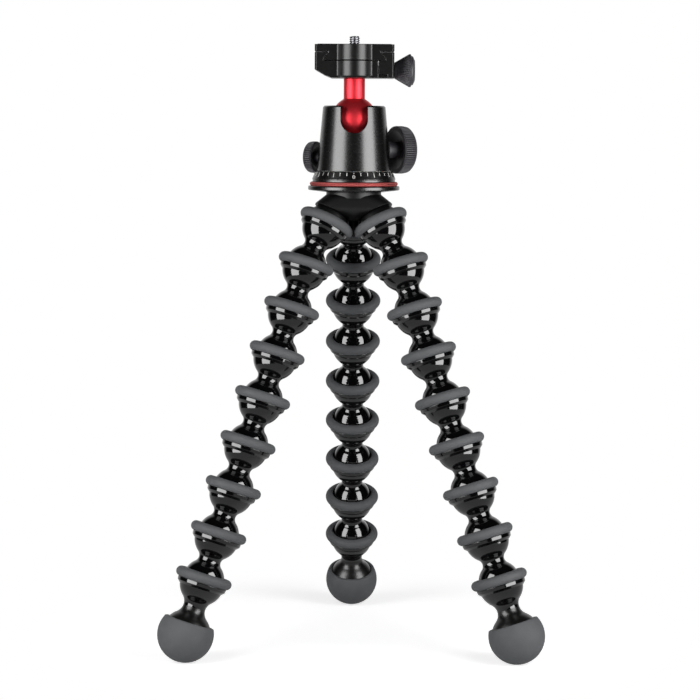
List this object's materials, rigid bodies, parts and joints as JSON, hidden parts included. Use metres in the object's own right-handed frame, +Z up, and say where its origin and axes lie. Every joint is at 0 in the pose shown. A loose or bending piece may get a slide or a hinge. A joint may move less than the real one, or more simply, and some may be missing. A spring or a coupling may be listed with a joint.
{
  "type": "flexible leg tripod",
  "caption": "Table tripod with bendable legs of ball-and-socket links, rubber grip rings and feet, a ball head with pan and tilt, and a quick-release clamp with a camera plate.",
  "frame": {"origin": "on the floor, at the centre of the footprint of the feet; the tripod axis stands forward of it", "axes": "+Z up along the tripod axis and the camera screw, -Y to the front with the drop notch, +X to the clamp knob"},
  "size_m": [0.235, 0.208, 0.3791],
  "materials": {
    "link_plastic": "gloss black moulded ABS, grip ring in dark grey rubber",
    "grip_rubber": "matt dark grey rubber",
    "hub_plastic": "satin black moulded plastic",
    "black_anodised": "satin black anodised",
    "red_anodised": "satin red anodised",
    "knob_plastic": "charcoal ribbed plastic",
    "bearing_plastic": "natural acetal",
    "steel": "plain steel"
  },
  "bodies": {
    "stand": {"leg_hub": "hub_plastic", "head_stud": "steel", "platform_disc": "black_anodised", "accent_ring": "red_anodised", "pan_base": "black_anodised", "slip_washer": "bearing_plastic", "post_retainer": "steel", "retainer_screw": "steel"},
    "housing": {"ball_housing": "black_anodised", "ball_cup": "bearing_plastic"},
    "ball_lock": {"ball_lock_knob": "knob_plastic", "ball_lock_screw": "steel"},
    "pan_lock": {"pan_lock_knob": "knob_plastic", "pan_lock_screw": "steel"},
    "ball": {"ball_stem": "red_anodised"},
    "clamp": {"clamp_body": "black_anodised", "clamp_bolt": "steel", "guide_pins": "steel"},
    "jaw": {"clamp_jaw": "black_anodised"},
    "clamp_turner": {"clamp_knob": "knob_plastic", "clamp_screw": "steel"},
    "plate": {"release_plate": "black_anodised", "plate_pad": "grip_rubber"},
    "camera_bolt": {"camera_screw": "steel"},
    "left_1": {"left_link_1": "link_plastic"},
    "left_2": {"left_link_2": "link_plastic"},
    "left_3": {"left_link_3": "link_plastic"},
    "left_4": {"left_link_4": "link_plastic"},
    "left_5": {"left_link_5": "link_plastic"},
    "left_6": {"left_link_6": "link_plastic"},
    "left_7": {"left_link_7": "link_plastic"},
    "left_8": {"left_link_8": "link_plastic"},
    "left_9": {"left_link_9": "link_plastic", "left_foot": "grip_rubber"},
    "right_1": {"right_link_1": "link_plastic"},
    "right_2": {"right_link_2": "link_plastic"},
    "right_3": {"right_link_3": "link_plastic"},
    "right_4": {"right_link_4": "link_plastic"},
    "right_5": {"right_link_5": "link_plastic"},
    "right_6": {"right_link_6": "link_plastic"},
    "right_7": {"right_link_7": "link_plastic"},
    "right_8": {"right_link_8": "link_plastic"},
    "right_9": {"right_link_9": "link_plastic", "right_foot": "grip_rubber"},
    "rear_1": {"rear_link_1": "link_plastic"},
    "rear_2": {"rear_link_2": "link_plastic"},
    "rear_3": {"rear_link_3": "link_plastic"},
    "rear_4": {"rear_link_4": "link_plastic"},
    "rear_5": {"rear_link_5": "link_plastic"},
    "rear_6": {"rear_link_6": "link_plastic"},
    "rear_7": {"rear_link_7": "link_plastic"},
    "rear_8": {"rear_link_8": "link_plastic"},
    "rear_9": {"rear_link_9": "link_plastic", "rear_foot": "grip_rubber"}
  },
  "joints": [
    {"name": "left_bend_1", "type": "hinge", "parent": "stand", "child": "left_1", "pos_m": [-0.01697, -0.03875, 0.26398], "axis": [-0.5, 0.866, 0], "range_deg": [-2, 15]},
    {"name": "left_sway_2", "type": "hinge", "parent": "left_1", "child": "left_2", "pos_m": [-0.02926, -0.04584, 0.23892], "axis": [-0.8122, -0.4689, 0.3469], "range_deg": [-40, 40]},
    {"name": "left_bend_3", "type": "hinge", "parent": "left_2", "child": "left_3", "pos_m": [-0.03791, -0.05084, 0.21191], "axis": [-0.5, 0.866, 0], "range_deg": [-40, 40]},
    {"name": "left_sway_4", "type": "hinge", "parent": "left_3", "child": "left_4", "pos_m": [-0.04656, -0.05583, 0.18489], "axis": [-0.8122, -0.4689, 0.3469], "range_deg": [-40, 40]},
    {"name": "left_bend_5", "type": "hinge", "parent": "left_4", "child": "left_5", "pos_m": [-0.05522, -0.06083, 0.15788], "axis": [-0.5, 0.866, 0], "range_deg": [-40, 40]},
    {"name": "left_sway_6", "type": "hinge", "parent": "left_5", "child": "left_6", "pos_m": [-0.06387, -0.06582, 0.13087], "axis": [-0.8122, -0.4689, 0.3469], "range_deg": [-40, 40]},
    {"name": "left_bend_7", "type": "hinge", "parent": "left_6", "child": "left_7", "pos_m": [-0.07252, -0.07082, 0.10386], "axis": [-0.5, 0.866, 0], "range_deg": [-40, 40]},
    {"name": "left_sway_8", "type": "hinge", "parent": "left_7", "child": "left_8", "pos_m": [-0.08117, -0.07582, 0.07685], "axis": [-0.8122, -0.4689, 0.3469], "range_deg": [-40, 40]},
    {"name": "left_bend_9", "type": "hinge", "parent": "left_8", "child": "left_9", "pos_m": [-0.08983, -0.08081, 0.04984], "axis": [-0.5, 0.866, 0], "range_deg": [-40, 40]},
    {"name": "right_bend_1", "type": "hinge", "parent": "stand", "child": "right_1", "pos_m": [0.01697, -0.03875, 0.26398], "axis": [-0.5, -0.866, 0], "range_deg": [-2, 15]},
    {"name": "right_sway_2", "type": "hinge", "parent": "right_1", "child": "right_2", "pos_m": [0.02926, -0.04584, 0.23892], "axis": [0.8122, -0.4689, 0.3469], "range_deg": [-40, 40]},
    {"name": "right_bend_3", "type": "hinge", "parent": "right_2", "child": "right_3", "pos_m": [0.03791, -0.05084, 0.21191], "axis": [-0.5, -0.866, 0], "range_deg": [-40, 40]},
    {"name": "right_sway_4", "type": "hinge", "parent": "right_3", "child": "right_4", "pos_m": [0.04656, -0.05583, 0.18489], "axis": [0.8122, -0.4689, 0.3469], "range_deg": [-40, 40]},
    {"name": "right_bend_5", "type": "hinge", "parent": "right_4", "child": "right_5", "pos_m": [0.05522, -0.06083, 0.15788], "axis": [-0.5, -0.866, 0], "range_deg": [-40, 40]},
    {"name": "right_sway_6", "type": "hinge", "parent": "right_5", "child": "right_6", "pos_m": [0.06387, -0.06582, 0.13087], "axis": [0.8122, -0.4689, 0.3469], "range_deg": [-40, 40]},
    {"name": "right_bend_7", "type": "hinge", "parent": "right_6", "child": "right_7", "pos_m": [0.07252, -0.07082, 0.10386], "axis": [-0.5, -0.866, 0], "range_deg": [-40, 40]},
    {"name": "right_sway_8", "type": "hinge", "parent": "right_7", "child": "right_8", "pos_m": [0.08117, -0.07582, 0.07685], "axis": [0.8122, -0.4689, 0.3469], "range_deg": [-40, 40]},
    {"name": "right_bend_9", "type": "hinge", "parent": "right_8", "child": "right_9", "pos_m": [0.08983, -0.08081, 0.04984], "axis": [-0.5, -0.866, 0], "range_deg": [-40, 40]},
    {"name": "rear_bend_1", "type": "hinge", "parent": "stand", "child": "rear_1", "pos_m": [0, -0.00935, 0.26398], "axis": [1, 0, 0], "range_deg": [-2, 15]},
    {"name": "rear_sway_2", "type": "hinge", "parent": "rear_1", "child": "rear_2", "pos_m": [0, 0.00483, 0.23892], "axis": [0, 0.9379, 0.3469], "range_deg": [-40, 40]},
    {"name": "rear_bend_3", "type": "hinge", "parent": "rear_2", "child": "rear_3", "pos_m": [0, 0.01482, 0.21191], "axis": [1, 0, 0], "range_deg": [-40, 40]},
    {"name": "rear_sway_4", "type": "hinge", "parent": "rear_3", "child": "rear_4", "pos_m": [0, 0.02482, 0.18489], "axis": [0, 0.9379, 0.3469], "range_deg": [-40, 40]},
    {"name": "rear_bend_5", "type": "hinge", "parent": "rear_4", "child": "rear_5", "pos_m": [0, 0.03481, 0.15788], "axis": [1, 0, 0], "range_deg": [-40, 40]},
    {"name": "rear_sway_6", "type": "hinge", "parent": "rear_5", "child": "rear_6", "pos_m": [0, 0.0448, 0.13087], "axis": [0, 0.9379, 0.3469], "range_deg": [-40, 40]},
    {"name": "rear_bend_7", "type": "hinge", "parent": "rear_6", "child": "rear_7", "pos_m": [0, 0.05479, 0.10386], "axis": [1, 0, 0], "range_deg": [-40, 40]},
    {"name": "rear_sway_8", "type": "hinge", "parent": "rear_7", "child": "rear_8", "pos_m": [0, 0.06478, 0.07685], "axis": [0, 0.9379, 0.3469], "range_deg": [-40, 40]},
    {"name": "rear_bend_9", "type": "hinge", "parent": "rear_8", "child": "rear_9", "pos_m": [0, 0.07477, 0.04984], "axis": [1, 0, 0], "range_deg": [-40, 40]},
    {"name": "pan", "type": "hinge", "parent": "stand", "child": "housing", "pos_m": [0, -0.02895, 0.29658], "axis": [0, 0, 1], "continuous": true},
    {"name": "ball_tilt", "type": "hinge", "parent": "housing", "child": "ball", "pos_m": [0, -0.02895, 0.32798], "axis": [1, 0, 0], "range_deg": [-25, 90]},
    {"name": "clamp_turn", "type": "hinge", "parent": "ball", "child": "clamp", "pos_m": [0, -0.02895, 0.35318], "axis": [0, 0, 1], "continuous": true},
    {"name": "jaw_slide", "type": "slide", "parent": "clamp", "child": "jaw", "axis": [1, 0, 0], "range_m": [0, 0.0024]},
    {"name": "clamp_knob_turn", "type": "hinge", "parent": "jaw", "child": "clamp_turner", "pos_m": [0.0243, -0.02895, 0.35818], "axis": [1, 0, 0], "range_deg": [0, 1081]},
    {"name": "ball_lock_turn", "type": "hinge", "parent": "housing", "child": "ball_lock", "pos_m": [0, -0.02895, 0.30938], "axis": [0.8788, 0.4772, 0], "range_deg": [0, 360]},
    {"name": "pan_lock_turn", "type": "hinge", "parent": "housing", "child": "pan_lock", "pos_m": [0, -0.02895, 0.30458], "axis": [-0.8829, 0.4695, 0], "range_deg": [0, 360]},
    {"name": "plate_slide", "type": "slide", "parent": "clamp", "child": "plate", "axis": [0, -1, 0], "range_m": [0, 0.06]},
    {"name": "camera_screw_turn", "type": "hinge", "parent": "plate", "child": "camera_bolt", "pos_m": [0, -0.02895, 0.37398], "axis": [0, 0, 1], "continuous": true}
  ],
  "couplings": [
    {"joint": "clamp_knob_turn", "follows": "jaw_slide", "rad_per_m": 7854}
  ]
}
